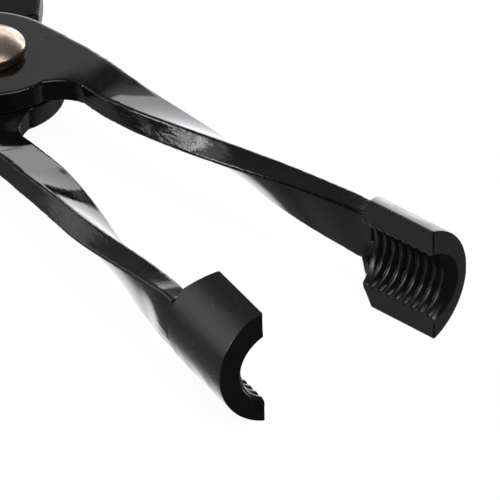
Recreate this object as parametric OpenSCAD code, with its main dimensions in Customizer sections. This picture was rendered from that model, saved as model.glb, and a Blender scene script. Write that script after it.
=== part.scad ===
// Valve seal pliers: two like levers, lapped on a rivet, each with a twisted arm,
// a threaded half-round jaw welded to its end and a dipped grip on its handle.
// Each lever is drawn in a frame of its own: the pivot is the Z axis, the lap face
// lies just above z = 0, the arm runs along +X and the handle crosses over to -Y.
// The second lever is the first one turned half a turn about X.

/* [Pivot] */
// Radius of the round boss on each lever
boss_r = 15.1; // [13:0.1:17]
// Thickness of a lever at its boss and handle
plate_t = 4.6; // [3.6:0.1:6]
// Gap between the two lap faces
lap_gap = 0.1; // [0.05:0.05:0.4]
// Angle between the two levers as the pliers lie
open_angle = 17; // [6:0.1:28]
// Drop from the top of the boss circle to the flat shoulder of the arm
shoulder_drop = 0.8; // [0:0.1:2]
// Length of the flat shoulder beside the boss
shoulder_len = 13; // [6:0.5:18]
// Where the notch beside the boss meets the arm
notch_x = 19.5; // [17.5:0.5:23]

/* [Rivet] */
// Diameter of the rivet's shank
rivet_d = 8; // [5:0.1:11]
// Running clearance of the shank in the upper lever, on the radius
rivet_clearance = 0.05; // [0.02:0.01:0.1]
// Running clearance under the domed head
head_clearance = 0.05; // [0.02:0.01:0.2]
// Diameter of the domed head
head_d = 15.2; // [12:0.1:20]
// Height of the upright rim of the domed head
head_rim_h = 1.3; // [0.5:0.1:3]
// Height of the dome above that rim
head_dome_h = 2.7; // [1:0.1:5]
// Diameter of the closed head under the lower lever
tail_d = 12.6; // [11.2:0.1:18]
// Height of the closed head
tail_h = 2.4; // [1:0.1:4]

/* [Arm] */
// Where the twist of the arm starts
twist_from = 25; // [23.5:0.5:30]
// Length of the untwisted arm between the twist and the weld
straight_len = 0.1; // [0:0.1:6]
// Where the two arms come closest to the middle line
waist_x = 39; // [36:1:55]
// Distance from the middle line to the arm's centre at the waist
waist_y = 7; // [6.6:0.1:9]
// How much further out the arm's centre lies beside the boss
root_rise = 2; // [0:0.1:2.5]
// Width of the arm before the twist
arm_w = 8.8; // [7:0.1:10]
// Width of the arm at the jaw
strip_w = 10.2; // [8:0.1:12]
// Thickness of the arm at the jaw
strip_t = 4.4; // [3:0.1:4.6]
// Rounding of the twisted arm's edges
arm_edge = 0.6; // [0.3:0.1:1.2]
// Height of the arm's centre at the jaw, measured from the lap plane
strip_z = -0.6; // [-2:0.1:2]
// How much further out the lower arm bows between its waist and its jaw
lower_bow = 1.2; // [0:0.1:1.5]

/* [Jaw] */
// Distance from the pivot to the front face of the jaws
jaw_reach = 110.2; // [104:0.1:130]
// Length of a jaw along its split face
jaw_len = 17.5; // [12:0.1:20]
// Outer radius of a jaw
jaw_r = 12.3; // [12.1:0.1:15]
// Radius of the crests inside a jaw, which grip the seal
grip_r = 7.4; // [5.5:0.1:7.6]
// How far the threaded bore lies below the axis of the jaws
bore_drop = 0.5; // [0:0.1:0.8]
// Depth of the thread grooves
groove_depth = 0.8; // [0.3:0.1:1.1]
// Distance from one groove to the next
pitch = 2; // [1.5:0.05:3]
// Width of the crest left between two grooves
crest_w = 0.5; // [0.3:0.05:0.8]
// Width of a groove's floor
groove_floor = 0.35; // [0.1:0.05:0.5]
// Smooth length behind the last groove
bore_lead = 1.8; // [1:0.1:5]
// Distance from the jaws' axis to the flat split face
split_offset = 3.3; // [2.5:0.1:4]
// Radius of the countersink at the mouth
mouth_r = 8.7; // [8.5:0.1:10]
// Depth of the countersink along the bore
mouth_depth = 1; // [0.6:0.1:3]
// How far the back face leans back for each millimetre outwards
back_lean = 0.2; // [0:0.05:0.4]
// Height above the jaws' axis at which the back corners are cut away
corner_z = 8; // [6.5:0.1:10]
// How far a corner cut comes forward for each millimetre of height
corner_slope = 0.53; // [0.2:0.01:1]
// Break of the outer edge at the front
front_break = 0.4; // [0.1:0.1:1]

/* [Weld] */
// Length of the weld along the arm
weld_len = 2.6; // [2:0.1:6]
// Width of the weld where it meets the jaw
weld_w = 1.6; // [0.8:0.1:2.4]
// How far the weld stays inside the arm's two faces
weld_inset = 0.3; // [0.1:0.05:0.8]

/* [Handle] */
// Distance from the pivot to the end of the grip
handle_len = 158.5; // [140:0.5:175]
// Angle at which the handle leaves the boss
handle_angle = 33; // [28:0.1:36]
// Length of the straight shank, from the pivot
shank_len = 27; // [22:0.5:32]
// Width of the shank
shank_w = 16.4; // [14:0.1:18]
// Distance from the shank's end to the first guide point of the handle's curve
handle_start = 24; // [16:1:34]
// Distance from the pivot to the second guide point, along the pliers
bow_x = 78; // [70:1:95]
// Distance from the middle line to the second guide point
bow_y = 34; // [30:0.5:40]
// Distance from the middle line to the end of the handle
handle_end_y = 23; // [18:0.5:28]
// Width of the handle where the grip starts
tang_w = 11; // [9:0.1:12]
// Width of the handle at its end
tang_end_w = 8.6; // [6:0.1:10]

/* [Grip] */
// Where the grip starts, as a share of the handle's curve
grip_from = 0.22; // [0.2:0.01:0.4]
// Width of the grip
grip_w = 16.6; // [15:0.1:20]
// Height of the grip
grip_h = 11; // [9:0.1:14]
// Extra width of the grip at the middle of the hand
grip_swell = 1.4; // [0:0.1:3]
// Extra size of the bead round the grip's front edge
grip_bead = 1; // [0.4:0.1:2]
// Length of the rounded end of the grip
grip_round = 8.5; // [5:0.5:12]
// Distance from the end of the handle inside the grip to the grip's end
grip_cap = 6; // [3:0.5:9]

/* [Hidden] */
$fn = 96;

// Heights of the lap face and of the outer face of a lever
lap_z = lap_gap / 2;
face_z = lap_z + plate_t;
hole_r = rivet_d / 2 + rivet_clearance;

// The jaw
jaw_back = jaw_reach - jaw_len;
root_r = grip_r + groove_depth;
groove_w = pitch - crest_w;
groove_run = jaw_len - mouth_depth - bore_lead - crest_w;
groove_n = floor(groove_run / pitch);
groove_x0 = jaw_reach - mouth_depth - crest_w - groove_w / 2;

// The arm's inner face runs into the crests of the bore
strip_y = grip_r + strip_t / 2;
twist_to = jaw_back - back_lean * (strip_y + strip_t / 2 - split_offset) - weld_len - straight_len;
arm_rings = 39;
edge_steps = 3;
// How far the arm's root reaches back inside the boss, and its last square ring ahead of the jaw
root_sink = 1.5;
seat_gap = 0.6;

// Colours
paint = [0.10, 0.105, 0.115];
bare = [0.72, 0.69, 0.64];
vinyl = [0.45, 0.05, 0.04];

// The handle: a straight shank, then a cubic curve with four guide points
shank_dir = -[cos(handle_angle), sin(handle_angle)];
shank_side = [-shank_dir[1], shank_dir[0]];
guide = [shank_len * shank_dir, (shank_len + handle_start) * shank_dir,
    [-bow_x, -bow_y], [-handle_len, -handle_end_y]];
handle_steps = 32;
// Share of the curve at which the handle has narrowed to the tang
neck_share = 0.19;

// Where the pivot lies, so that the pliers stand on z = 0 around the origin
half_open = open_angle / 2;
reach_front = jaw_reach * cos(half_open) - split_offset * sin(half_open);
reach_back = handle_len * cos(half_open) - handle_end_y * sin(half_open);
pivot_x = (reach_back - reach_front) / 2;
pivot_z = sqrt(jaw_r * jaw_r - split_offset * split_offset);

function mix(a, b, u) = a + (b - a) * u;
function clamp01(u) = max(0, min(1, u));
function smooth(u) = u * u * (3 - 2 * u);

// Centre, width, thickness, height and twist of the arm at a distance x from the pivot
function arm_y(x) = x < waist_x
    ? waist_y + root_rise * pow((waist_x - x) / (waist_x - notch_x), 2)
    : mix(waist_y, strip_y, smooth(pow(clamp01((x - waist_x) / (jaw_back - waist_x)), 2.4)));
function bow_y_at(x) = pow(sin(180 * clamp01((x - waist_x) / (jaw_back - weld_len - waist_x))), 2);
function arm_width(x) = mix(arm_w, strip_w,
    smooth(clamp01((x - waist_x) / (twist_to - waist_x) * 1.5)));
function twist_share(x) = clamp01((x - twist_from) / (twist_to - twist_from));
function arm_thick(x) = mix(plate_t, strip_t, twist_share(x));
function arm_z(x) = mix(lap_z + plate_t / 2, strip_z, pow(twist_share(x), 3));
function arm_twist(x) = 90 * mix(smooth(twist_share(x)), twist_share(x), 0.57);

// Where a jaw's back face lies at a distance y from the jaws' axis
function back_x(y) = jaw_back - back_lean * (y - split_offset);

// Corners of a w by h rectangle with rounded edges, anticlockwise
function rounded_box(w, h, r) = [for (corner = [[1, 1, 0], [-1, 1, 90], [-1, -1, 180], [1, -1, 270]])
    for (i = [0:edge_steps - 1])
        let (a = corner[2] + 90 * i / (edge_steps - 1))
        [corner[0] * (w / 2 - r) + r * cos(a), corner[1] * (h / 2 - r) + r * sin(a)]];

// One ring of the arm: its section at x, turned by the twist
function arm_ring(x, bow = 0) = let (a = arm_twist(x), y = arm_y(x) + bow * bow_y_at(x))
    [for (p = rounded_box(arm_width(x), arm_thick(x), arm_edge))
        [x, y + p[0] * cos(a) + p[1] * sin(a), arm_z(x) - p[0] * sin(a) + p[1] * cos(a)]];

// A solid through a list of like rings, closed flat at both ends
module skin(rings) {
    n = len(rings[0]);
    last = len(rings) - 1;
    points = [for (ring = rings) for (p = ring) p];
    sides = [for (i = [0:last - 1]) for (j = [0:n - 1])
        let (a = i * n + j, b = i * n + (j + 1) % n)
        each [[a, a + n, b], [b, a + n, b + n]]];
    first_cap = [for (j = [0:n - 1]) j];
    last_cap = [for (j = [n - 1:-1:0]) last * n + j];
    polyhedron(points = points, faces = concat([first_cap], sides, [last_cap]), convexity = 6);
}

// Point, direction and sideways direction of the handle's curve at a share s
function curve_point(s) = pow(1 - s, 3) * guide[0] + 3 * s * pow(1 - s, 2) * guide[1]
    + 3 * s * s * (1 - s) * guide[2] + pow(s, 3) * guide[3];
function curve_slope(s) = 3 * pow(1 - s, 2) * (guide[1] - guide[0])
    + 6 * s * (1 - s) * (guide[2] - guide[1]) + 3 * s * s * (guide[3] - guide[2]);
function curve_side(s) = let (d = curve_slope(s) / norm(curve_slope(s))) [-d[1], d[0]];
function tang_width(s) = s < neck_share
    ? mix(shank_w, tang_w, smooth(s / neck_share))
    : mix(tang_w, tang_end_w, (s - neck_share) / (1 - neck_share));

// Share of the curve at which the steel of the handle ends
curve_end_speed = norm(curve_slope(1));
tang_to = 1 - grip_cap / curve_end_speed;

// Flat outline of the handle, from the pivot to its end
module handle_outline() {
    steps = [for (i = [0:handle_steps]) tang_to * i / handle_steps];
    outer = [for (s = steps) curve_point(s) + curve_side(s) * tang_width(s) / 2];
    inner = [for (i = [handle_steps:-1:0])
        let (s = steps[i]) curve_point(s) - curve_side(s) * tang_width(s) / 2];
    polygon(concat([shank_side * shank_w / 2], outer, inner, [-shank_side * shank_w / 2]));
}

// Flat outline of the arm's root, from the boss to the start of the twist
module root_outline() {
    shoulder_y = boss_r - shoulder_drop;
    outer = [for (x = [notch_x:(twist_from - notch_x) / 2:twist_from + 0.01])
        [x, arm_y(x) + arm_width(x) / 2]];
    polygon(concat(
        [[0, 0], [shoulder_len / 4, shoulder_y], [shoulder_len, shoulder_y - 0.2]],
        outer,
        [for (i = [len(outer) - 1:-1:0]) [outer[i][0], outer[i][1] - arm_width(outer[i][0])]],
        [[boss_r * cos(3), boss_r * sin(3)]]));
}

// The twisted arm: a smaller first ring sunk into the flat root, a last one on the jaw's back
module arm(bow) {
    last_x = back_x(strip_y + strip_t) - seat_gap;
    step = (twist_to - twist_from) / arm_rings;
    plug = [for (p = arm_ring(twist_from))
        [twist_from - root_sink, mix(p[1], arm_y(twist_from), 0.15), mix(p[2], arm_z(twist_from), 0.15)]];
    seat = [for (p = arm_ring(jaw_back)) [back_x(p[1]), p[1], p[2]]];
    skin(concat([plug], [for (i = [0:arm_rings]) arm_ring(twist_from + i * step, bow)],
        [arm_ring(last_x, bow), seat]));
}

// One lever: boss, arm and handle in one piece of steel, with its rivet hole
module lever(bore_r, bow) {
    difference() {
        union() {
            translate([0, 0, lap_z])
                linear_extrude(plate_t)
                    union() {
                        circle(r = boss_r);
                        root_outline();
                        handle_outline();
                    }
            arm(bow);
        }
        translate([0, 0, lap_z - 1])
            cylinder(r = bore_r, h = plate_t + 2);
    }
}

// Half section of the round bar that a jaw is cut from: [radius, distance from the pivot]
function bar_section(bar_back) = [[0, bar_back], [jaw_r, bar_back],
    [jaw_r, jaw_reach - front_break], [jaw_r - front_break, jaw_reach], [0, jaw_reach]];

// Half section of the threaded bore with its countersunk mouth
function bore_section(bar_back) = concat(
    [[0, bar_back], [0, jaw_reach + mouth_depth],
        [mouth_r + mouth_r - grip_r, jaw_reach + mouth_depth], [grip_r, jaw_reach - mouth_depth]],
    [for (k = [0:groove_n - 1]) let (x = groove_x0 - k * pitch)
        each [[grip_r, x + groove_w / 2], [root_r, x + groove_floor / 2],
            [root_r, x - groove_floor / 2], [grip_r, x - groove_w / 2]]],
    [[grip_r, bar_back]]);

// One jaw: the part of a threaded tube beyond the split face, with a leaning back face
module jaw(bore_z) {
    big = 6 * jaw_r;
    bar_back = back_x(jaw_r) - 1;
    lean = atan(back_lean);
    difference() {
        rotate([0, 90, 0])
            rotate_extrude()
                polygon(bar_section(bar_back));
        translate([0, 0, bore_z])
            rotate([0, 90, 0])
                rotate_extrude()
                    polygon(bore_section(bar_back - 1));
        translate([jaw_back - big / 2, split_offset - big, -big / 2])
            cube(big);
        translate([jaw_back, split_offset, 0])
            rotate([0, 0, lean])
                translate([-big, -big / 2, -big / 2])
                    cube(big);
        for (side = [-1, 1])
            translate([jaw_back, split_offset, side * corner_z])
                rotate([0, side * atan(corner_slope), lean])
                    translate([-big, -big / 2, -big / 2])
                        cube(big);
    }
}

// The weld beads in the corners between the arm's two edges and the jaw's back face
module jaw_weld() {
    lean = atan(back_lean);
    from_y = strip_y - strip_t / 2 + weld_inset - split_offset;
    bead_y = (strip_t - 2 * weld_inset) / cos(lean);
    for (side = [-1, 1])
        translate([jaw_back, split_offset, strip_z + side * strip_w / 2])
            rotate([90, 0, 180 + lean])
                translate([0, 0, from_y / cos(lean)])
                    linear_extrude(bead_y)
                        polygon([[0, 0], [weld_len, 0], [weld_len * 0.4, side * weld_w * 0.6],
                            [0, side * weld_w]]);
}

// One ring of the grip, square to the handle's curve
grip_sides = 24;
function grip_ring(s, w, h) = [for (i = [0:grip_sides - 1])
    let (a = -360 * i / grip_sides, c = cos(a), d = sin(a),
        y = sign(c) * pow(abs(c), 0.85) * w / 2,
        z = sign(d) * pow(abs(d), 0.85) * h / 2,
        p = curve_point(s) + curve_side(s) * y)
    [p[0], p[1], lap_z + plate_t / 2 + z]];

// Extra size of the grip at a share s: a bead at its front, a swell in the hand
function bead_at(s) = grip_bead * exp(-pow((s - grip_from - 0.014) / 0.014, 2));
function swell_at(s) = grip_swell * pow(sin(180 * clamp01((s - grip_from) / (1 - grip_from))), 2);

// Shares of the curve at which the grip's rings lie: its bead, its length, its round end
bead_rings = 4;
length_rings = 20;
end_rings = 8;
round_share = grip_round / curve_end_speed;
bead_len = 0.04;
grip_shares = concat(
    [for (i = [0:bead_rings - 1]) grip_from + bead_len * i / bead_rings],
    [for (i = [0:length_rings - 1]) mix(grip_from + bead_len, 1 - round_share, i / length_rings)],
    [for (i = [0:end_rings]) 1 - round_share * (1 - sin(84 * i / end_rings))]);

// How full the grip is at a share s of the curve
function fullness(s) = s <= 1 - round_share ? 1
    : sqrt(1 - pow((s - 1 + round_share) / round_share, 2));

// One dipped grip, with a pocket that fits the handle's steel
module grip() {
    difference() {
        skin([for (s = grip_shares)
            grip_ring(s, (grip_w + swell_at(s)) * fullness(s) + bead_at(s),
                grip_h * fullness(s) + bead_at(s))]);
        translate([0, 0, lap_z])
            linear_extrude(plate_t)
                handle_outline();
    }
}

// The rivet: domed head on top, shank, closed head below
module rivet() {
    shank_top = face_z + head_clearance;
    dome_r = (head_dome_h * head_dome_h + head_d * head_d / 4) / (2 * head_dome_h);
    tail_r = (tail_h * tail_h + tail_d * tail_d / 4) / (2 * tail_h);
    translate([0, 0, -face_z])
        cylinder(d = rivet_d, h = face_z + shank_top);
    translate([0, 0, shank_top])
        cylinder(d = head_d, h = head_rim_h);
    intersection() {
        translate([0, 0, shank_top + head_rim_h + head_dome_h - dome_r])
            sphere(r = dome_r);
        translate([0, 0, shank_top + head_rim_h])
            cylinder(d = head_d, h = head_dome_h + 1);
    }
    intersection() {
        translate([0, 0, -face_z - tail_h + tail_r])
            sphere(r = tail_r);
        translate([0, 0, -face_z - tail_h - 1])
            cylinder(d = tail_d, h = tail_h + 1);
    }
}

// Where a piece of each lever goes: the lower lever is the upper one turned over
module upper() {
    translate([pivot_x, 0, pivot_z])
        rotate([0, 0, half_open])
            children();
}
module lower() {
    translate([pivot_x, 0, pivot_z])
        rotate([0, 0, -half_open])
            rotate([180, 0, 0])
                children();
}

module upper_lever() { color(paint) upper() lever(hole_r, 0); }
module lower_lever() { color(paint) lower() lever(rivet_d / 2, lower_bow); }
module upper_jaw() { color(paint) upper() jaw(-bore_drop); }
module lower_jaw() { color(paint) lower() jaw(bore_drop); }
module upper_jaw_weld() { color(paint) upper() jaw_weld(); }
module lower_jaw_weld() { color(paint) lower() jaw_weld(); }
module pivot_rivet() { color(bare) translate([pivot_x, 0, pivot_z]) rivet(); }
module upper_grip() { color(vinyl) upper() grip(); }
module lower_grip() { color(vinyl) lower() grip(); }

upper_lever();
lower_lever();
upper_jaw();
lower_jaw();
upper_jaw_weld();
lower_jaw_weld();
pivot_rivet();
upper_grip();
lower_grip();
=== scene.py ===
"""Valve seal pliers: the dressed model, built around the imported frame.

Lengths named in capitals are millimetres, angles are degrees. Each lever is shaped in a
frame of its own: the pivot is the Z axis, the lap face lies just above z = 0, the arm runs
along +X and the handle crosses over to -Y. The lower lever is the upper one turned over.
"""
import math

import bmesh
import bpy
import numpy as np
from mathutils import Matrix, Vector, noise


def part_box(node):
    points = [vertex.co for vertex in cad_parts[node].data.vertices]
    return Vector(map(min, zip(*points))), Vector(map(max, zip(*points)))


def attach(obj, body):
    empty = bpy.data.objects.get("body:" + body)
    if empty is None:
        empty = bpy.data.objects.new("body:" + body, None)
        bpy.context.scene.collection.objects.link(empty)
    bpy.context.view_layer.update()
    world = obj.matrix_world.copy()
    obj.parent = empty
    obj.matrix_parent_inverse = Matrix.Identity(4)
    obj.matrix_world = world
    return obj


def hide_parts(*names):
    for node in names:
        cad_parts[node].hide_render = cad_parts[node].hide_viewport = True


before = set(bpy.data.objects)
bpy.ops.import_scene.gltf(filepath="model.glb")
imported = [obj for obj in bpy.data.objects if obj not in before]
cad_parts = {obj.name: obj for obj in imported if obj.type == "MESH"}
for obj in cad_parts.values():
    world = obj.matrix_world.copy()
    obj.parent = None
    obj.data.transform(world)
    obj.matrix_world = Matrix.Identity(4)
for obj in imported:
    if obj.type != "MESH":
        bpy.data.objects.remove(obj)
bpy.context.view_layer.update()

MM = 0.001

# Pivot and plate
BOSS_R = 15.1
BOSS_FLAT = 0.75       # the boss reaches this much less across than along
PLATE_T = 4.6
LAP_GAP = 0.1
OPEN_ANGLE = 17.0
SHOULDER_DROP = 0.8
SHOULDER_FROM = 0.5
SHOULDER_LEN = 13.0
SHOULDER_FALL = 0.2
NOTCH_X = 19.5
NOTCH_FOOT = (15.3, -0.1)
NOTCH_CORNER = (18.3, 4.9)
NOTCH_END = 22.0
HOLE_R = 4.05
PLATE_START = HOLE_R + 1

# Rounded top edge of boss and root: where it lies and how softly it ends
RIM_DEPTH = 1.6
RIM_DEPTH_FADE = 0.8
RIM_FROM_R = 11.5
RIM_R_FADE = 1.5
RIM_SPAN = 40.0
RIM_SHOULDER = (5.0, 10.0)
RIM_END = 36.0
RIM_END_FADE = 6.0
RIM_SIDE = -6.0
RIM_SIDE_FADE = 4.0
RIM_ROUNDS = 12

# A face counts as a cut edge where it faces this far away from the plate's own side
CUT_FLATNESS = 0.35
CUT_FADE = 0.4

# Arm
ARM_SINK = 1.5         # how far the arm starts inside the root
TWIST_FROM = 25.0
EVEN_TWIST = 0.57      # the share of the twist that is spread evenly
STRAIGHT_LEN = 0.1
WAIST_X = 39.0
WAIST_Y = 7.0
ROOT_RISE = 2.0
SWAY_POWER = 2.4
WIDEN_RATE = 1.5
ARM_W = 8.8
STRIP_W = 10.2
STRIP_T = 4.4
STRIP_Z = -0.6
LOWER_BOW = 1.2
ARM_EDGE = 0.4
RING_STEP = 0.7

# Extra turn of an arm at its root: the angle, where it rises and where it falls
UPPER_LEAN = (-4.0, 15.0, 22.0, 27.0, 31.0)
LOWER_LEAN = (10.0, 16.0, 21.0, 25.0, 36.0)

# Slope across the handle's plate, between two distances behind the pivot
HANDLE_LEAN = 0.11
LEAN_FROM = 15.5
LEAN_RISE = 4.0
LEAN_TO = 30.0
LEAN_FALL = 10.0

# Jaw
JAW_REACH = 110.2
JAW_LEN = 17.5
JAW_R = 12.3
GRIP_R = 7.4
BORE_DROP = 0.5
SPLIT = 3.3
BACK_LEAN = 0.2
CORNER_Z = 8.0
CORNER_SLOPE = 0.53
JAW_ROWS = 120
JAW_COLUMNS = 90
JAW_LAYERS = 8
JAW_EDGE_R = 8.5
JAW_EDGE_FADE = 0.8
JAW_EDGE_ROUNDS = 16

# Thread and the countersink of its mouth
GROOVE_DEPTH = 0.8
GROOVE_SHAPE = 0.6
PITCH = 2.0
FIRST_GROOVE = 108.2
HELIX_LEAN = 1.0
THREAD_TURN = 63.5
SHALLOW_FROM = 42.0
SHALLOW_FADE = 20.0
SHALLOW_DEPTH = 0.6
LAND_SHORT = 0.2       # smooth bore behind the first groove, on its upper side
LAND_LONG = 2.4        # and low down
LAND_TURN = 50.0
LAND_SHIFT = 1.3
LAND_FADE = 0.9
MOUTH_DEPTH = 1.0
MOUTH = {"upper": (7.6, 2.3), "lower": (7.7, 0.6)}

# Weld
WELD_LEN = 2.6
BLEND_LEN = 14.0
BLEND_OVERLAP = 3.0
BLEND_RINGS = 21
BLEND_PROUD = 0.03     # the arm's outer face stands this much over the jaw's
BLEND_SINK = 0.25      # and ends this much below it
BLEND_CLEAR = 1.5      # the steel that it leaves round the bore
HEEL_LEN = 2.9
HEEL_FROM = 30.0
HEEL_RINGS = 24
HEEL_ENDS = (2.0, 1.0)  # degrees that it stays short of the middle and of the split
HEEL_SINK = 0.3
HEEL_FILL = 0.35
HEEL_INSET = (0.02, 0.25, 0.5, 1.2)
BEAD_R = 1.1
BEAD_COUNT = 7
BEAD_LARGEST = 0.95    # the first lump's size as a share of BEAD_R
BEAD_TAPER = 0.07
BEAD_UNEVEN = 0.35
BEAD_SEED = (1.7, 3.1)
BEAD_INSET = (0.2, 0.9)
BEAD_BACK = 0.35
BEAD_DOWN = 0.1
LUMP_HEIGHT = 0.2
LUMP_PER_MM = 0.9
# Height at which the weld's lighter metal begins, and how softly it fades in: partly bare metal,
# partly a painted highlight
BARE_SHEEN_FROM = 3.2
BARE_SHEEN_FADE = 1.5

# Voxel and rounds of smoothing of each fused skin
LEVER_SKIN = (0.28, 2)
JAW_SKIN = (0.14, 1)
WELD_SKIN = (0.16, 5)
SOFT_LEAST = 0.01

# Handle and grip
HANDLE_LEN = 158.5
HANDLE_ANGLE = 33.0
HANDLE_STEPS = 48
SHANK_LEN = 27.0
SHANK_W = 16.4
HANDLE_START = 24.0
BOW_X = 78.0
BOW_Y = 34.0
HANDLE_END_Y = 23.0
TANG_W = 11.0
TANG_END_W = 8.6
NECK_SHARE = 0.19
GRIP_FROM = 0.22
GRIP_W = 16.6
GRIP_H = 11.0
GRIP_SIDES = 64
GRIP_SQUARE = 0.85     # 1 is an ellipse, less is squarer
GRIP_SWELL = 1.4
GRIP_BEAD = 1.0
BEAD_SHARE = 0.014
BEAD_END = 0.06
BEAD_RINGS = 18
HAND_RINGS = 90
CAP_RINGS = 17
CAP_TURN = 88.0
FRONT_INSETS = (0.55, 0.85)
FRONT_BEAD = 0.3
GRIP_ROUND = 8.5
GRIP_CAP = 6.0

# Rivet
HEAD_CLEARANCE = 0.05
HEAD_D = 14.5
HEAD_RIM_H = 1.75
HEAD_DOME_H = 2.25
TAIL_D = 12.6
TAIL_H = 2.4
SHANK_D = 8.0
TAIL_INSET = 0.1
RIM_STEPS = ((0.35, 0.0), (0.1, 0.1), (0.0, 0.35))  # inset and height of the rim's foot
RIM_TOP = 0.3
DOME_INSET = 0.05
TAIL_RINGS = 19
DOME_RINGS = 24
RIVET_SIDES = 128

# Colours
PAINT_COLOUR = (0.0045, 0.0048, 0.005)
# Light dots painted on the jaws as glints, a painted highlight
GLINT_COLOUR = (0.16, 0.15, 0.14)
# Lighter metal on the weld bead: partly bare metal, partly a painted highlight
BARE_AND_SHEEN_COLOUR = (0.22, 0.215, 0.21)
NICKEL_COLOUR = (0.62, 0.53, 0.44)
STAIN_COLOUR = (0.33, 0.25, 0.18)
VINYL_COLOUR = (0.40, 0.022, 0.019)
VINYL_DARK = (0.30, 0.014, 0.013)

# Camera, at the place and angle of the photograph
CAMERA_AZIMUTH = 52.41
CAMERA_ELEVATION = 34.57
CAMERA_ROLL = -1.36
CAMERA_TARGET = (78.13, 1.29, 0.0)
CAMERA_DISTANCE = 1300.0
CAMERA_LENS = 514.2

# Derived
LAP_Z = LAP_GAP / 2
FACE_Z = LAP_Z + PLATE_T
MID_Z = LAP_Z + PLATE_T / 2
JAW_BACK = JAW_REACH - JAW_LEN
STRIP_Y = GRIP_R + STRIP_T / 2
TWIST_TO = JAW_BACK - BACK_LEAN * (STRIP_Y + STRIP_T / 2 - SPLIT) - WELD_LEN - STRAIGHT_LEN

# The pivot's place comes from the frame: the middle of the rivet
rivet_low, rivet_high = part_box("pivot_rivet")
PIVOT = Vector(((rivet_low.x + rivet_high.x) / 2, (rivet_low.y + rivet_high.y) / 2, 0))
PIVOT.z = rivet_low.z + (FACE_Z + TAIL_H) * MM


# Small helpers

def mix(a, b, u):
    return a + (b - a) * u


def clamp01(u):
    return np.clip(u, 0, 1)


def smooth(u):
    return u * u * (3 - 2 * u)


def sin_deg(a):
    return np.sin(np.radians(a))


def cos_deg(a):
    return np.cos(np.radians(a))


def towards(azimuth, elevation):
    """A direction: azimuth 0 is -Y and 90 is +X, as for the camera."""
    az, el = math.radians(azimuth), math.radians(elevation)
    return Vector((math.sin(az) * math.cos(el), -math.cos(az) * math.cos(el), math.sin(el)))


def up(side):
    """1 where the lever's own +Z points up in the world, -1 where the lever is turned over."""
    return 1 if side == "upper" else -1


def to_world(side):
    """The matrix from a lever's own frame in millimetres to the row frame in metres."""
    turn = Matrix.Rotation(math.radians(OPEN_ANGLE / 2 * up(side)), 4, "Z")
    flip = Matrix.Identity(4) if side == "upper" else Matrix.Rotation(math.pi, 4, "X")
    return Matrix.Translation(PIVOT) @ turn @ flip @ Matrix.Scale(MM, 4)


# Meshes

def linked(name, mesh):
    obj = bpy.data.objects.new(name, mesh)
    bpy.context.scene.collection.objects.link(obj)
    return obj


def new_object(name, verts, faces):
    mesh = bpy.data.meshes.new(name)
    mesh.from_pydata([tuple(v) for v in verts], [], [tuple(f) for f in faces])
    mesh.validate()
    return linked(name, mesh)


def from_bmesh(name, bm):
    mesh = bpy.data.meshes.new(name)
    bm.to_mesh(mesh)
    bm.free()
    return linked(name, mesh)


def face_outwards(obj):
    bm = bmesh.new()
    bm.from_mesh(obj.data)
    bmesh.ops.recalc_face_normals(bm, faces=bm.faces)
    bm.to_mesh(obj.data)
    bm.free()
    return obj


def shade_smooth(obj):
    obj.data.polygons.foreach_set("use_smooth", [True] * len(obj.data.polygons))
    obj.data.update()


def joined(name, parts):
    """One object that holds the meshes of several, which are removed."""
    bm = bmesh.new()
    for part in parts:
        bm.from_mesh(part.data)
        bpy.data.objects.remove(part)
    return from_bmesh(name, bm)


def apply_modifiers(obj):
    """Bakes an object's modifiers into its mesh."""
    bpy.context.view_layer.update()
    graph = bpy.context.evaluated_depsgraph_get()
    mesh = bpy.data.meshes.new_from_object(obj.evaluated_get(graph))
    obj.modifiers.clear()
    obj.data = mesh
    mesh.name = obj.name


def fused(obj, voxel, rounds):
    """Fuses overlapping closed shells into one skin and rounds its edges."""
    remesh = obj.modifiers.new("Fuse", "REMESH")
    remesh.mode = "VOXEL"
    remesh.voxel_size = voxel
    remesh.adaptivity = 0
    relax = obj.modifiers.new("Round", "SMOOTH")
    relax.factor = 0.5
    relax.iterations = rounds
    apply_modifiers(obj)
    shade_smooth(obj)


def softened(obj, share, rounds):
    """Rounds a mesh further, as far as share says for each vertex."""
    group = obj.vertex_groups.new(name="soft")
    for i, value in enumerate(share):
        if value > SOFT_LEAST:
            group.add([i], float(value), "REPLACE")
    relax = obj.modifiers.new("Soften", "SMOOTH")
    relax.factor = 0.5
    relax.iterations = rounds
    relax.vertex_group = group.name
    apply_modifiers(obj)
    obj.vertex_groups.clear()


def vertex_table(obj, key):
    values = np.empty(len(obj.data.vertices) * 3)
    obj.data.vertices.foreach_get(key, values)
    return values.reshape(-1, 3)


def move_vertices(obj, points):
    obj.data.vertices.foreach_set("co", points.ravel())
    obj.data.update()


def mark(obj, name, values):
    """Keeps a number for each vertex, for the material to read."""
    layer = obj.data.attributes.new(name, "FLOAT", "POINT")
    layer.data.foreach_set("value", values.astype(np.float32))


def placed(obj, side):
    """Moves a mesh shaped in a lever's frame to its place in the row frame."""
    obj.data.transform(to_world(side))
    obj.data.update()
    return obj


def ring_faces(count, size):
    """The faces between rings of points that follow one another."""
    faces = []
    for i in range(count - 1):
        for j in range(size):
            a, b = i * size + j, i * size + (j + 1) % size
            faces.append((a, b, b + size, a + size))
    return faces


def loft(name, rings):
    """A closed skin through a list of like rings."""
    rings = np.array(rings, float)
    count, size = rings.shape[:2]
    ends = [tuple(range(size))[::-1], tuple((count - 1) * size + j for j in range(size))]
    return face_outwards(new_object(name, rings.reshape(-1, 3), ring_faces(count, size) + ends))


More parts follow.
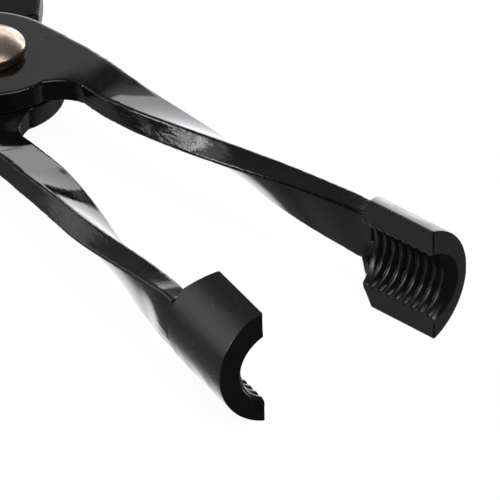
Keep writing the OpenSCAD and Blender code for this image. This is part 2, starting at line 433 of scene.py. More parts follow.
def prism(name, loops, low, high):
    """A flat plate between two heights, with an outline and any holes."""
    bm = bmesh.new()
    for loop in loops:
        ring = [bm.verts.new((p[0], p[1], low)) for p in loop]
        for a, b in zip(ring, ring[1:] + ring[:1]):
            bm.edges.new((a, b))
    bmesh.ops.triangle_fill(bm, use_beauty=True, use_dissolve=False, edges=bm.edges[:])
    raised = bmesh.ops.extrude_face_region(bm, geom=bm.faces[:])
    moved = [v for v in raised["geom"] if isinstance(v, bmesh.types.BMVert)]
    bmesh.ops.translate(bm, verts=moved, vec=(0, 0, high - low))
    bmesh.ops.recalc_face_normals(bm, faces=bm.faces)
    return from_bmesh(name, bm)


def ellipse(along, across, count):
    return [(along * cos_deg(360 * i / count), across * sin_deg(360 * i / count))
            for i in range(count)]


def ball(place, radius):
    bm = bmesh.new()
    bmesh.ops.create_icosphere(bm, subdivisions=3, radius=radius)
    bmesh.ops.translate(bm, verts=bm.verts, vec=place)
    return from_bmesh("ball", bm)


def lathe(name, profile, sides):
    """A closed turned body from pairs of radius and height, on the Z axis at both ends."""
    verts = [(r * math.cos(2 * math.pi * j / sides), r * math.sin(2 * math.pi * j / sides), z)
             for r, z in profile[1:-1] for j in range(sides)]
    rows = len(profile) - 2
    faces = ring_faces(rows, sides)
    verts += [(0, 0, profile[0][1]), (0, 0, profile[-1][1])]
    first, last = len(verts) - 2, len(verts) - 1
    top = (rows - 1) * sides
    for j in range(sides):
        faces.append((first, (j + 1) % sides, j))
        faces.append((last, top + j, top + (j + 1) % sides))
    return face_outwards(new_object(name, verts, faces))


# The arm's formulas, as functions of the distance x from the pivot

def arm_y(x):
    near = WAIST_Y + ROOT_RISE * ((WAIST_X - x) / (WAIST_X - NOTCH_X)) ** 2
    share = clamp01((x - WAIST_X) / (JAW_BACK - WAIST_X)) ** SWAY_POWER
    return np.where(x < WAIST_X, near, mix(WAIST_Y, STRIP_Y, smooth(share)))


def bow_at(x):
    return sin_deg(180 * clamp01((x - WAIST_X) / (JAW_BACK - WELD_LEN - WAIST_X))) ** 2


def arm_width(x):
    share = clamp01((x - WAIST_X) / (TWIST_TO - WAIST_X) * WIDEN_RATE)
    return mix(ARM_W, STRIP_W, smooth(share))


def twist_share(x):
    return clamp01((x - TWIST_FROM) / (TWIST_TO - TWIST_FROM))


def arm_thick(x):
    return mix(PLATE_T, STRIP_T, twist_share(x))


def arm_z(x):
    return mix(MID_Z, STRIP_Z, twist_share(x) ** 3)


def arm_twist(x):
    return 90 * mix(smooth(twist_share(x)), twist_share(x), EVEN_TWIST)


def back_x(y):
    """Where the jaw's leaning back face lies."""
    return JAW_BACK - BACK_LEAN * (y - SPLIT)


def rounded_box(w, h, r, steps=6, flats=6):
    """Points round a w by h rectangle with rounded corners, anticlockwise."""
    points = []
    for sx, sy, start in ((1, 1, 0), (-1, 1, 90), (-1, -1, 180), (1, -1, 270)):
        for i in range(steps):
            a = math.radians(start + 90 * i / (steps - 1))
            points.append((sx * (w / 2 - r) + r * math.cos(a), sy * (h / 2 - r) + r * math.sin(a)))
    dense = []
    for i, (a, b) in enumerate(zip(points, points[1:] + points[:1])):
        pieces = flats if i % steps == steps - 1 else 1
        dense += [(mix(a[0], b[0], k / pieces), mix(a[1], b[1], k / pieces)) for k in range(pieces)]
    return np.array(dense)


def arm_ring(x, bow):
    section = rounded_box(arm_width(x), arm_thick(x), ARM_EDGE)
    a = arm_twist(x)
    y = arm_y(x) + bow * bow_at(x) + section[:, 0] * cos_deg(a) + section[:, 1] * sin_deg(a)
    z = arm_z(x) - section[:, 0] * sin_deg(a) + section[:, 1] * cos_deg(a)
    return np.stack([np.full(len(section), x), y, z], axis=1)


def arm_end(bow):
    """The arm's last rings, whose outer face rises to the jaw's and fades out on it."""
    rings = []
    for ahead in np.linspace(BLEND_LEN, -BLEND_OVERLAP, BLEND_RINGS):
        ring = arm_ring(JAW_BACK - max(ahead, 0), bow)
        y, z = ring[:, 1], ring[:, 2]
        share = smooth(float(clamp01(1 - ahead / BLEND_LEN)))
        radius = JAW_R + BLEND_PROUD - BLEND_SINK * smooth(float(clamp01(-ahead / BLEND_OVERLAP)))
        outer = clamp01((y - STRIP_Y) / (STRIP_T / 2))
        y = mix(y, np.sqrt(radius ** 2 - z ** 2), share * outer)
        if ahead < 0:
            # Over the jaw the arm stays clear of the bore
            y = np.maximum(y, np.sqrt(np.maximum((GRIP_R + BLEND_CLEAR) ** 2 - z ** 2, 0)))
        ring[:, 1] = y
        ring[:, 0] = back_x(y) * share + JAW_BACK * (1 - share) - ahead
        rings.append(ring)
    return rings


# The handle's curve

def guide_points():
    away = -np.array([cos_deg(HANDLE_ANGLE), sin_deg(HANDLE_ANGLE)])
    return [SHANK_LEN * away, (SHANK_LEN + HANDLE_START) * away,
            np.array([-BOW_X, -BOW_Y]), np.array([-HANDLE_LEN, -HANDLE_END_Y])]


GUIDE = guide_points()


def curve_point(s):
    a, b, c, d = GUIDE
    return (1 - s) ** 3 * a + 3 * s * (1 - s) ** 2 * b + 3 * s * s * (1 - s) * c + s ** 3 * d


def curve_slope(s):
    a, b, c, d = GUIDE
    return 3 * (1 - s) ** 2 * (b - a) + 6 * s * (1 - s) * (c - b) + 3 * s * s * (d - c)


def curve_side(s):
    d = curve_slope(s)
    d = d / np.linalg.norm(d)
    return np.array([-d[1], d[0]])


END_SPEED = float(np.linalg.norm(curve_slope(1)))
TANG_TO = 1 - GRIP_CAP / END_SPEED
ROUND_SHARE = GRIP_ROUND / END_SPEED


def tang_width(s):
    if s < NECK_SHARE:
        return mix(SHANK_W, TANG_W, smooth(s / NECK_SHARE))
    return mix(TANG_W, TANG_END_W, (s - NECK_SHARE) / (1 - NECK_SHARE))


# Levers

def root_outline():
    """The plate between boss and arm, with its rounded shoulder and notch."""
    shoulder_y = BOSS_R - SHOULDER_DROP
    start = [(PLATE_START, HOLE_R), (SHOULDER_FROM, shoulder_y), (SHOULDER_LEN / 2, shoulder_y),
             (SHOULDER_LEN, shoulder_y - SHOULDER_FALL)]
    outer = [(x, float(arm_y(x) + arm_width(x) / 2)) for x in np.linspace(NOTCH_X, TWIST_FROM, 5)]
    inner = [(x, float(arm_y(x) - arm_width(x) / 2)) for x in np.linspace(TWIST_FROM, NOTCH_END, 4)]
    end, corner, foot = np.array(inner[-1]), np.array(NOTCH_CORNER), np.array(NOTCH_FOOT)
    notch = [tuple((1 - t) ** 2 * end + 2 * t * (1 - t) * corner + t * t * foot)
             for t in np.linspace(0, 1, 13)[1:]]
    return start + outer + inner + notch + [(PLATE_START, -1)]


def handle_outline():
    shares = [TANG_TO * i / HANDLE_STEPS for i in range(HANDLE_STEPS + 1)]
    side = curve_side(0) * SHANK_W / 2
    root = GUIDE[0] * (PLATE_START / SHANK_LEN)
    outer = [curve_point(s) + curve_side(s) * tang_width(s) / 2 for s in shares]
    inner = [curve_point(s) - curve_side(s) * tang_width(s) / 2 for s in reversed(shares)]
    return [root + side] + outer + inner + [root - side]


def rim_share(points):
    """How far each point belongs to the rounded top edge of boss and root."""
    x, y, z = points.T
    top = clamp01((z - FACE_Z + RIM_DEPTH) / RIM_DEPTH_FADE)
    away = np.hypot(x - np.clip(x, 0, RIM_SPAN), y)
    share = top * clamp01((away - RIM_FROM_R) / RIM_R_FADE)
    share = np.where((x > RIM_SHOULDER[0]) & (y > RIM_SHOULDER[1]), top, share)
    ends = clamp01((RIM_END - x) / RIM_END_FADE) * clamp01((y - RIM_SIDE) / RIM_SIDE_FADE)
    return share * ends


def root_lean(x, lean):
    """The extra turn of the arm where it leaves the boss."""
    turn, rise_from, rise_to, fall_from, fall_to = lean
    rise = smooth(clamp01((x - rise_from) / (rise_to - rise_from)))
    return turn * rise * (1 - smooth(clamp01((x - fall_from) / (fall_to - fall_from))))


def handle_lean(x, y):
    """How much the handle's plate tips about its own line just behind the boss."""
    along = -x * cos_deg(HANDLE_ANGLE) - y * sin_deg(HANDLE_ANGLE)
    across = y * cos_deg(HANDLE_ANGLE) - x * sin_deg(HANDLE_ANGLE)
    rise = smooth(clamp01((along - LEAN_FROM) / LEAN_RISE))
    return HANDLE_LEAN * across * rise * (1 - smooth(clamp01((along - LEAN_TO) / LEAN_FALL)))


def leaned(points, lean):
    """The points with the arm turned about its own line and the handle tipped."""
    x = points[:, 0]
    y, z = points[:, 1] - arm_y(x), points[:, 2] - arm_z(x)
    turned_y = arm_y(x) + y * cos_deg(lean) + z * sin_deg(lean)
    turned_z = arm_z(x) - y * sin_deg(lean) + z * cos_deg(lean)
    return np.stack([x, turned_y, turned_z + handle_lean(x, turned_y)], axis=1)


def lever(name, side):
    """Boss, arm and handle of one lever, fused into one skin with rounded edges."""
    bow = 0 if side == "upper" else LOWER_BOW
    rings = [arm_ring(TWIST_FROM - ARM_SINK, 0)]
    rings += [arm_ring(x, bow) for x in np.arange(TWIST_FROM, JAW_BACK - BLEND_LEN, RING_STEP)]
    arm = loft("arm", rings + arm_end(bow))
    rim, hole = ellipse(BOSS_R, BOSS_R - BOSS_FLAT, 128), ellipse(HOLE_R, HOLE_R, 64)
    boss = prism("boss", [rim, hole], LAP_Z, FACE_Z)
    root = prism("root", [root_outline()], LAP_Z, FACE_Z)
    handle = prism("handle", [handle_outline()], LAP_Z, FACE_Z)
    obj = joined(name, [boss, root, handle, arm])
    fused(obj, *LEVER_SKIN)
    softened(obj, rim_share(vertex_table(obj, "co")), RIM_ROUNDS)
    points = vertex_table(obj, "co")
    lean = root_lean(points[:, 0], UPPER_LEAN if side == "upper" else LOWER_LEAN)
    move_vertices(obj, leaned(points, lean))
    # The narrow faces are those that the blank's cut left, square to the twisting plate
    turn = arm_twist(np.clip(points[:, 0], 0, None)) + lean
    normal = vertex_table(obj, "normal")
    flatness = np.abs(normal[:, 1] * sin_deg(turn) + normal[:, 2] * cos_deg(turn))
    mark(obj, "cut_edge", 1 - smooth(clamp01((flatness - CUT_FLATNESS) / CUT_FADE)))
    return placed(obj, side)


# Jaws

def jaw_start(y, z):
    """Where a jaw's back face lies: it leans, and its corners are cut."""
    return back_x(y) + CORNER_SLOPE * np.maximum(0, np.abs(z) - CORNER_Z)


def thread_radius(angle, x, side):
    """Radius of the bore at an angle from the jaw's middle and a distance from the pivot."""
    lean = HELIX_LEAN * (THREAD_TURN - angle) / (2 * THREAD_TURN)
    ridge = np.abs(np.sin(np.pi * (x + lean - FIRST_GROOVE) / PITCH))
    edge = smooth(clamp01((np.abs(angle) - SHALLOW_FROM) / SHALLOW_FADE))
    land = mix(LAND_SHORT, LAND_LONG, clamp01(-up(side) * angle / LAND_TURN))
    start = smooth(clamp01((x - JAW_BACK + LAND_SHIFT - land) / LAND_FADE))
    depth = GROOVE_DEPTH * mix(1, SHALLOW_DEPTH, edge) * start * (1 - ridge ** GROOVE_SHAPE)
    flare = clamp01((x - (JAW_REACH - MOUTH_DEPTH)) / MOUTH_DEPTH)
    narrow, widening = MOUTH[side]
    rim = narrow + widening * cos_deg(angle) ** 2
    return np.maximum(GRIP_R + depth, GRIP_R + (rim - GRIP_R) * flare)


def jaw_grids(side):
    """Points of the bore and of the outside, in rows from the back to the front."""
    bore_z = -up(side) * BORE_DROP
    along = np.linspace(0, 1, JAW_ROWS)[:, None]
    share = np.linspace(-1, 1, JAW_COLUMNS)[None, :] + 0 * along
    angle = share * math.degrees(math.acos(SPLIT / JAW_R))
    y, z = JAW_R * cos_deg(angle), JAW_R * sin_deg(angle)
    outer = np.stack([mix(jaw_start(y, z), JAW_REACH, along), y, z], axis=2)
    radius = np.full_like(angle, GRIP_R)
    angle = share * np.degrees(np.arccos(SPLIT / GRIP_R))
    # The split faces stay flat, so radius and angle are brought to agree in a few rounds
    for _ in range(3):
        y, z = radius * cos_deg(angle), bore_z + radius * sin_deg(angle)
        x = mix(jaw_start(y, z), JAW_REACH, along)
        radius = thread_radius(angle, x, side)
        angle = share * np.degrees(np.arccos(SPLIT / radius))
    inner = np.stack([x, radius * cos_deg(angle), bore_z + radius * sin_deg(angle)], axis=2)
    return inner, outer


def quads(low, high):
    """The faces between two rows of vertex numbers."""
    return [(low[j], low[j + 1], high[j + 1], high[j]) for j in range(len(low) - 1)]


def jaw_shell(name, inner, outer):
    """The closed skin of a jaw: bore, outside, split faces, back and front."""
    rows, columns = inner.shape[:2]
    numbers = np.arange(2 * rows * columns).reshape(2, rows, columns).tolist()
    bore, shell = numbers
    verts, faces = [inner.reshape(-1, 3), outer.reshape(-1, 3)], []
    for grid in numbers:
        for low, high in zip(grid, grid[1:]):
            faces += quads(low, high)
    for j in (0, columns - 1):
        faces += quads([row[j] for row in bore], [row[j] for row in shell])
    count = 2 * rows * columns
    for i in (0, rows - 1):
        layers = [bore[i]]
        for k in range(1, JAW_LAYERS):
            between = mix(inner[i], outer[i], k / JAW_LAYERS)
            if i == 0:
                between[:, 0] = jaw_start(between[:, 1], between[:, 2])
            verts.append(between)
            layers.append(list(range(count, count + columns)))
            count += columns
        layers.append(shell[i])
        for low, high in zip(layers, layers[1:]):
            faces += quads(low, high)
        # The end face meets the split faces along its two sides
        faces += [tuple(row[j] for row in layers) for j in (0, columns - 1)]
    return face_outwards(new_object(name, np.concatenate(verts), faces))


def jaw(name, side):
    """One half of the threaded socket, with its leaning back face and cut corners."""
    obj = jaw_shell(name, *jaw_grids(side))
    fused(obj, *JAW_SKIN)
    x, y, z = vertex_table(obj, "co").T
    from_bore = np.hypot(y, z + up(side) * BORE_DROP)
    softened(obj, clamp01((from_bore - JAW_EDGE_R) / JAW_EDGE_FADE), JAW_EDGE_ROUNDS)
    return placed(obj, side)


# Welds

def heel(side):
    """The filled corner between the arm's lower edge and the jaw's back face."""
    end = math.degrees(math.acos(SPLIT / GRIP_R))
    rings = []
    bore, seat, back_edge, least = HEEL_INSET
    for a in np.linspace(HEEL_ENDS[0], end - HEEL_ENDS[1], HEEL_RINGS):
        reach = HEEL_LEN * float(clamp01((end - a) / (end - HEEL_FROM)))
        inner = min(mix(GRIP_R, GRIP_R / cos_deg(a), HEEL_FILL), JAW_R - least)
        section = ((GRIP_R + bore, -HEEL_SINK), (JAW_R - seat, -HEEL_SINK),
                   (JAW_R - back_edge, reach), (inner, reach))
        ring = []
        for r, back in section:
            y, z = r * cos_deg(a), -up(side) * (BORE_DROP + r * sin_deg(a))
            ring.append((back_x(y) - back, y, z))
        rings.append(ring)
    return loft("heel", rings)


def bead(side):
    """The lumpy weld bead across the upper side of the arm's end."""
    inside, outside = BEAD_INSET
    balls = []
    for k in range(BEAD_COUNT):
        uneven = BEAD_UNEVEN * noise.noise((k * BEAD_SEED[0], BEAD_SEED[1], 0))
        y = mix(GRIP_R + inside, GRIP_R + STRIP_T - outside, k / (BEAD_COUNT - 1))
        z = up(side) * (STRIP_W / 2 - BEAD_DOWN) + STRIP_Z
        size = BEAD_R * (BEAD_LARGEST - BEAD_TAPER * k + uneven)
        balls.append(ball((back_x(y) - BEAD_BACK, y, z), size))
    return balls


def weld(name, side):
    """The weld: a filled corner under the arm's end and a lumpy bead over it."""
    obj = joined(name, [heel(side)] + bead(side))
    fused(obj, *WELD_SKIN)
    points, normals = vertex_table(obj, "co"), vertex_table(obj, "normal")
    # Lighter on the bead above the arm: partly bare metal, partly a painted highlight
    share = clamp01((up(side) * points[:, 2] - BARE_SHEEN_FROM) / BARE_SHEEN_FADE)
    lumps = np.array([noise.noise(Vector(p) * LUMP_PER_MM) for p in points])
    move_vertices(obj, points + normals * (lumps * LUMP_HEIGHT * share)[:, None])
    mark(obj, "bare", share)
    return placed(obj, side)


# Rivet

def dome(diameter, height, reach, count):
    """Pairs of radius and height above the rim of a flat dome, from its middle to a radius."""
    sphere_r = (height ** 2 + diameter ** 2 / 4) / (2 * height)
    radii = [reach * i / count for i in range(count + 1)]
    return [(r, height - sphere_r + math.sqrt(sphere_r ** 2 - r * r)) for r in radii]


def rivet(name):
    """A domed head with a soft rim, the shank and the closed head under it."""
    top = FACE_Z + HEAD_CLEARANCE
    head_r, rim = HEAD_D / 2, top + HEAD_RIM_H
    profile = [(r, -FACE_Z - z) for r, z in dome(TAIL_D, TAIL_H, TAIL_D / 2, TAIL_RINGS)]
    profile += [(TAIL_D / 2 - TAIL_INSET, -FACE_Z), (SHANK_D / 2, -FACE_Z), (SHANK_D / 2, top)]
    profile += [(head_r - inset, top + height) for inset, height in RIM_STEPS]
    profile.append((head_r, rim - RIM_TOP))
    crown = dome(HEAD_D, HEAD_DOME_H, head_r - DOME_INSET, DOME_RINGS)
    profile += [(r, rim + z) for r, z in reversed(crown)]
    obj = lathe(name, profile, RIVET_SIDES)
    shade_smooth(obj)
    obj.data.transform(Matrix.Translation(PIVOT) @ Matrix.Scale(MM, 4))
    return obj


# Grips

def fullness(s):
    if s <= 1 - ROUND_SHARE:
        return 1.0
    return math.sqrt(max(0, 1 - ((s - 1 + ROUND_SHARE) / ROUND_SHARE) ** 2))


def grip_ring(s, w, h):
    """A squared oval across the handle's curve."""
    ring = []
    for i in range(GRIP_SIDES):
        a = 2 * math.pi * i / GRIP_SIDES
        c, d = math.cos(a), math.sin(a)
        p = curve_point(s) + curve_side(s) * math.copysign(abs(c) ** GRIP_SQUARE, c) * w / 2
        ring.append((p[0], p[1], MID_Z + math.copysign(abs(d) ** GRIP_SQUARE, d) * h / 2))
    return ring


def grip(name, side):
    """A dipped grip: rounded section, a bead at its front, a swell in the hand, a round end."""
    bead_to = GRIP_FROM + BEAD_END
    shares = list(np.linspace(GRIP_FROM, bead_to, BEAD_RINGS))[:-1]
    shares += list(np.linspace(bead_to, 1 - ROUND_SHARE, HAND_RINGS))[:-1]
    turns = [math.radians(CAP_TURN * i / (CAP_RINGS - 1)) for i in range(CAP_RINGS)]
    shares += [1 - ROUND_SHARE * (1 - math.sin(turn)) for turn in turns]
    rings = []
    for inset in FRONT_INSETS:
        w, h = GRIP_W + GRIP_BEAD * FRONT_BEAD, GRIP_H + GRIP_BEAD * FRONT_BEAD
        rings.append(grip_ring(GRIP_FROM, w * inset, h * inset))
    for s in shares:
        front = GRIP_BEAD * math.exp(-((s - GRIP_FROM - BEAD_SHARE) / BEAD_SHARE) ** 2)
        swell = GRIP_SWELL * sin_deg(180 * clamp01((s - GRIP_FROM) / (1 - GRIP_FROM))) ** 2
        w = (GRIP_W + swell) * fullness(s) + front
        h = GRIP_H * fullness(s) + front
        rings.append(grip_ring(s, w, h))
    obj = loft(name, rings)
    shade_smooth(obj)
    return placed(obj, side)


# Materials: textures are scaled in repeats per metre, bumps are as deep as they say in mm

def add_node(tree, kind, **values):
    made = tree.nodes.new("ShaderNode" + kind)
    for key, value in values.items():
        setattr(made, key, value)
    return made


def set_range(node, low, high, start, stop):
    for key, value in (("From Min", low), ("From Max", high), ("To Min", start), ("To Max", stop)):
        node.inputs[key].default_value = value


class Look:
    """A Principled material and short ways to add nodes to it."""

    def __init__(self, name, colour, roughness, metallic=0.0):
        self.mat = bpy.data.materials.new(name)
        self.mat.use_nodes = True
        self.tree = self.mat.node_tree
        self.shader = self.tree.nodes["Principled BSDF"]
        self.shader.inputs["Base Color"].default_value = (*colour, 1)
        self.shader.inputs["Roughness"].default_value = roughness
        self.shader.inputs["Metallic"].default_value = metallic
        self.place = self.node("TexCoord").outputs["Object"]

    def node(self, kind, **values):
        return add_node(self.tree, kind, **values)

    def feed(self, source, socket):
        if isinstance(source, (int, float)):
            socket.default_value = source
        else:
            self.tree.links.new(source, socket)

    def noise(self, scale, detail=3.0, stretch=(1, 1, 1)):
        made = self.node("TexNoise")
        made.inputs["Scale"].default_value = scale
        made.inputs["Detail"].default_value = detail
        place = self.place
        if stretch != (1, 1, 1):
            change = self.node("Mapping")
            change.inputs["Scale"].default_value = stretch
            self.feed(place, change.inputs["Vector"])
            place = change.outputs["Vector"]
        self.feed(place, made.inputs["Vector"])
        return made.outputs["Fac"]

    def dots(self, scale, size):
        """One where a scattered dot lies, zero elsewhere."""
        cells = self.node("TexVoronoi")
        cells.inputs["Scale"].default_value = scale
        self.feed(self.place, cells.inputs["Vector"])
        return self.ramp(cells.outputs["Distance"], size, size * 0.5, 0, 1)

    def ramp(self, source, low, high, start, stop):
        made = self.node("MapRange")
        set_range(made, low, high, start, stop)
        self.feed(source, made.inputs["Value"])
        return made.outputs[0]

    def math(self, operation, a, b):
        made = self.node("Math", operation=operation)
        self.feed(a, made.inputs[0])
        self.feed(b, made.inputs[1])
        return made.outputs[0]

    def blend(self, share, first, second):
        made = self.node("Mix", data_type="RGBA")
        self.feed(share, made.inputs[0])
        for socket, colour in ((made.inputs[6], first), (made.inputs[7], second)):
            socket.default_value = (*colour, 1)
        return made.outputs[2]

    def mark(self, name):
        return self.node("Attribute", attribute_name=name).outputs["Fac"]

    def set(self, key, source):
        self.feed(source, self.shader.inputs[key])

    def bump(self, *layers):
        """Bumps one over the other; each is a height and its depth in millimetres."""
        last = None
        for height, depth in layers:
            made = self.node("Bump")
            made.inputs["Strength"].default_value = 1.0
            made.inputs["Distance"].default_value = depth * MM
            self.feed(height, made.inputs["Height"])
            if last is not None:
                self.feed(last, made.inputs["Normal"])
            last = made.outputs["Normal"]
        self.feed(last, self.shader.inputs["Normal"])


def paint_material():
    """Gloss black over forged steel: smooth on the faces, rough where the blank was cut."""
    look = Look("black_paint", PAINT_COLOUR, 0.08)
    edge = look.mark("cut_edge")
    patchy = look.ramp(look.noise(420), 0.35, 0.7, 0.0, 1.0)
    worn = look.math("MULTIPLY", edge, look.ramp(look.noise(160, 5), 0.4, 0.6, 0.25, 1.0))
    gloss = look.ramp(patchy, 0, 1, 0.05, 0.10)
    look.set("Roughness", look.math("ADD", gloss, look.math("MULTIPLY", worn, 0.09)))
    pits = look.dots(1100, 0.09)
    cuts = look.math("MULTIPLY", worn, look.noise(900, 6, (0.6, 0.6, 1.6)))
    look.bump((look.noise(3500, 2), 0.003), (look.noise(90, 2), 0.006), (pits, -0.02), (cuts, 0.14))
    return look.mat


def jaw_material():
    """The same black, satin and mottled, with fine light dots painted in as glints."""
    look = Look("satin_black", PAINT_COLOUR, 0.3)
    mottle = look.ramp(look.noise(230, 5), 0.35, 0.68, 0.0, 1.0)
    look.set("Roughness", look.ramp(mottle, 0, 1, 0.2, 0.34))
    # Light dots painted into the base colour as glints, a painted highlight; the bump also raises
    # them a little
    glint_dots = look.dots(600, 0.055)
    look.set("Base Color", look.blend(glint_dots, PAINT_COLOUR, GLINT_COLOUR))
    look.bump((look.noise(2600, 3), 0.006), (look.noise(420, 4), 0.02), (glint_dots, 0.02))
    return look.mat


def weld_material():
    """Paint thin on the bead's lumps, with lighter metal there: partly bare metal, partly a painted
    highlight on the bead's upper side.
    """
    look = Look("weld_black", PAINT_COLOUR, 0.3)
    thin = look.ramp(look.noise(380, 4), 0.4, 0.6, 0.0, 1.0)
    # The bead's upper side painted lighter: bare metal and a painted highlight
    bare = look.math("MULTIPLY", look.mark("bare"), thin)
    look.set("Base Color", look.blend(bare, PAINT_COLOUR, BARE_AND_SHEEN_COLOUR))
    look.set("Roughness", look.ramp(bare, 0, 1, 0.14, 0.4))
    look.bump((look.noise(2600, 3), 0.005), (look.noise(420, 4), 0.012))
    return look.mat


def nickel_material():
    """Worn nickel plate with brownish stains and fine scuffs."""
    look = Look("nickel", NICKEL_COLOUR, 0.24, 1.0)
    stain = look.ramp(look.noise(330, 5), 0.42, 0.7, 0.0, 1.0)
    look.set("Base Color", look.blend(stain, NICKEL_COLOUR, STAIN_COLOUR))
    look.set("Roughness", look.ramp(stain, 0, 1, 0.22, 0.36))
    look.bump((look.noise(1500, 4), 0.012), (look.noise(300, 2), 0.03))
    return look.mat


def vinyl_material():
    """Dipped vinyl: a soft sheen, slow waves from the dip and a fine grain."""
    look = Look("red_vinyl", VINYL_COLOUR, 0.38)
    tone = look.ramp(look.noise(90, 4), 0.3, 0.7, 0.0, 1.0)
    look.set("Base Color", look.blend(tone, VINYL_COLOUR, VINYL_DARK))
    look.set("Roughness", look.ramp(tone, 0, 1, 0.34, 0.46))
    look.bump((look.noise(70, 2), 0.15), (look.noise(2200, 3), 0.012), (look.dots(500, 0.06), 0.03))
    return look.mat


def dress(obj, mat, slot, body, *nodes):
    obj.data.materials.clear()
    obj.data.materials.append(mat)
    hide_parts(*nodes)
    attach(obj, body)


paint, satin, filler, vinyl = paint_material(), jaw_material(), weld_material(), vinyl_material()
for side in ("upper", "lower"):
    body = side + "_half"
    dress(lever(side + "_lever_steel", side), paint, "lever_paint", body, side + "_lever")
    dress(jaw(side + "_jaw_socket", side), satin, "jaw_paint", body, side + "_jaw")
    dress(weld(side + "_weld_fillet", side), filler, "weld_paint", body, side + "_jaw_weld")
    dress(grip(side + "_grip_dip", side), vinyl, "grip_vinyl", body, side + "_grip")
dress(rivet("pivot_rivet_domed"), nickel_material(), "rivet_metal", "lower_half", "pivot_rivet")


# Camera and stage

def make_camera():
    roll = math.radians(CAMERA_ROLL)
    back = towards(CAMERA_AZIMUTH, CAMERA_ELEVATION)
    right = Vector((0, 0, 1)).cross(back).normalized()
    upright = back.cross(right)
    across = right * math.cos(roll) + upright * math.sin(roll)
    upward = upright * math.cos(roll) - right * math.sin(roll)
    data = bpy.data.cameras.new("camera")
    data.lens = CAMERA_LENS
    data.clip_start, data.clip_end = 0.05, 20
    cam = linked("camera", data)
    turn = Matrix((across, upward, back)).transposed().to_4x4()
    place = PIVOT + Vector(CAMERA_TARGET) * MM + back * CAMERA_DISTANCE * MM
    cam.matrix_world = Matrix.Translation(place) @ turn
    bpy.context.scene.camera = cam


def lobe(tree, place, side, near, far, low, high):
    """A brightness that goes from low to high as a direction turns towards one side."""
    facing = add_node(tree, "VectorMath", operation="DOT_PRODUCT")
    facing.inputs[1].default_value = side
    tree.links.new(place, facing.inputs[0])
    ramp = add_node(tree, "MapRange", interpolation_type="SMOOTHSTEP")
    set_range(ramp, near, far, low, high)
    tree.links.new(facing.outputs["Value"], ramp.inputs["Value"])
    return ramp.outputs[0]


def combined(tree, operation, a, b):
    made = add_node(tree, "Math", operation=operation)
    tree.links.new(a, made.inputs[0])
    tree.links.new(b, made.inputs[1])
    return made.outputs[0]


def mixed(tree, share, first, second):
    made = add_node(tree, "MixShader")
    for source, socket in zip((share, first, second), made.inputs):
        tree.links.new(source, socket)
    return made.outputs[0]


def studio_brightness(tree):
    """The sum of the parts of the reflected studio, by direction."""
    place = add_node(tree, "TexCoord").outputs["Generated"]
    total = None
    for side, starts, full, outside, inside, roof in STUDIO:
        near, far = math.cos(math.radians(starts)), math.cos(math.radians(full))
        part = lobe(tree, place, side, near, far, outside, inside)
        if roof:
            low, high = -math.sin(math.radians(roof + 1)), -math.sin(math.radians(roof))
            below = lobe(tree, place, Vector((0, 0, -1)), low, high, 0, 1)
            part = combined(tree, "MULTIPLY", part, below)
        total = part if total is None else combined(tree, "ADD", total, part)
    return total


def make_world():
    """Pale where the camera looks past the floor; a grey studio by direction in reflections."""
    world = bpy.data.worlds.new("studio")
    bpy.context.scene.world = world
    world.use_nodes = True
    tree = world.node_tree
    tree.nodes.clear()
    path = add_node(tree, "LightPath").outputs
    seen, mirrored, light = (add_node(tree, "Background") for _ in range(3))
    mirrored.inputs["Color"].default_value = MIRRORED_COLOUR
    tree.links.new(studio_brightness(tree), mirrored.inputs["Strength"])
    light.inputs["Color"].default_value = WORLD_COLOUR
    light.inputs["Strength"].default_value = WORLD_LIGHT
    clear = combined(tree, "MAXIMUM", path["Is Camera Ray"], path["Is Transmission Ray"])
    unseen = mixed(tree, path["Is Glossy Ray"], light.outputs[0], mirrored.outputs[0])
    out = add_node(tree, "OutputWorld")
    tree.links.new(mixed(tree, clear, unseen, seen.outputs[0]), out.inputs["Surface"])


def make_floor():
    """A pale floor, lifted to white for the camera, that keeps the object's shadow."""
    half = FLOOR_HALF
    floor = new_object("floor", [(-half, -half, 0), (half, -half, 0), (half, half, 0),
                                 (-half, half, 0)], [(0, 1, 2, 3)])
    mat = bpy.data.materials.new("pale_floor")
    mat.use_nodes = True
    tree = mat.node_tree
    tree.nodes.clear()
    matt, shadow = (add_node(tree, "BsdfDiffuse") for _ in range(2))
    matt.inputs["Color"].default_value = FLOOR_COLOUR
    shadow.inputs["Color"].default_value = SHADOW_COLOUR
    glow = add_node(tree, "Emission")
    glow.inputs["Strength"].default_value = FLOOR_GLOW
    both = add_node(tree, "AddShader")
    tree.links.new(shadow.outputs[0], both.inputs[0])
    tree.links.new(glow.outputs[0], both.inputs[1])
    to_camera = add_node(tree, "LightPath").outputs["Is Camera Ray"]
    out = add_node(tree, "OutputMaterial")
    surface = mixed(tree, to_camera, matt.outputs[0], both.outputs[0])
    tree.links.new(surface, out.inputs["Surface"])
    floor.data.materials.append(mat)
    # The photograph's upright faces are dark, so no pale floor shows in reflections
    floor.visible_glossy = False


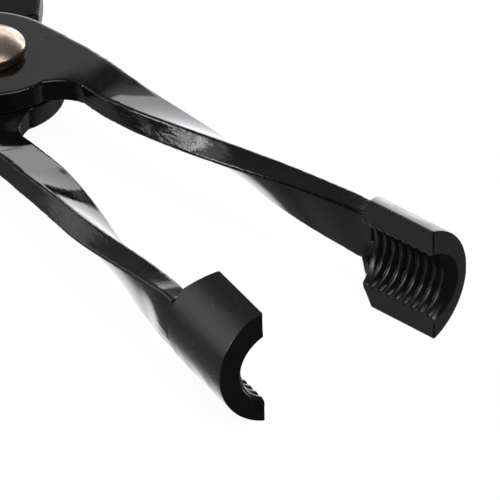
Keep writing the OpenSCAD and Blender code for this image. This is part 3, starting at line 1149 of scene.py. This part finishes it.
def softbox(name, azimuth, elevation, width, height, glow):
    """A lamp that faces the jaws from a direction, with its apparent size in degrees."""
    side = towards(azimuth, elevation)
    data = bpy.data.lights.new(name, "AREA")
    data.shape = "RECTANGLE"
    data.size = 2 * LAMP_DISTANCE * math.tan(math.radians(width / 2))
    data.size_y = 2 * LAMP_DISTANCE * math.tan(math.radians(height / 2))
    data.energy = glow * math.pi * data.size * data.size_y
    lamp = linked(name, data)
    across = Vector((0, 0, 1)).cross(side).normalized()
    turn = Matrix((across, side.cross(across), side)).transposed().to_4x4()
    place = PIVOT + Vector(CAMERA_TARGET) * MM + side * LAMP_DISTANCE
    lamp.matrix_world = Matrix.Translation(place) @ turn
    return lamp


# Studio light: glow is the brightness of a lamp's face, where 1 is paper white
LAMP_DISTANCE = 1.2
WORLD_COLOUR = (0.97, 0.98, 1, 1)
WORLD_LIGHT = 0.55
MIRRORED_COLOUR = (0.98, 0.97, 1, 1)
FLOOR_HALF = 3.0
FLOOR_COLOUR = (0.85, 0.85, 0.85, 1)
SHADOW_COLOUR = (0.07, 0.07, 0.07, 1)
FLOOR_GLOW = 0.955

# Each part of the reflected studio: its side, where it starts and is full (degrees from that
# side), its brightness outside and inside, and the height in degrees above which it ends, or
# 0 where it has no such end
STUDIO = (
    (towards(262, 4), 100, 40, 0.03, 0.26, 0),
    (towards(228, 31), 12, 6, 0.0, 0.42, 0),
    (towards(238, 43), 14, 6, 0.0, -0.14, 0),
    (towards(250, -40), 24, 13, 0.0, 1.7, 0),
    (towards(212, 4), 33, 29, 0.0, 2.2, 24.5),
    (towards(335, -38), 25, 8, 0.0, 0.2, 0),
    (towards(300, 14), 26, 6, 0.0, 0.9, 0),
    (towards(245, 36), 8, 3, 0.0, -0.12, 0),
    (towards(152, -35), 28, 12, 0.0, 0.22, 0),
    (towards(328, 30), 17, 6, 0.0, 1.1, 0),
)

make_camera()
make_world()
make_floor()
softbox("back_light", 207, 12, 46, 24, 2.3).visible_glossy = False
softbox("top_light", 100, 66, 34, 34, 3.0)
softbox("side_light", 330, 18, 12, 20, 8.0)
bpy.context.scene.view_settings.view_transform = "Standard"
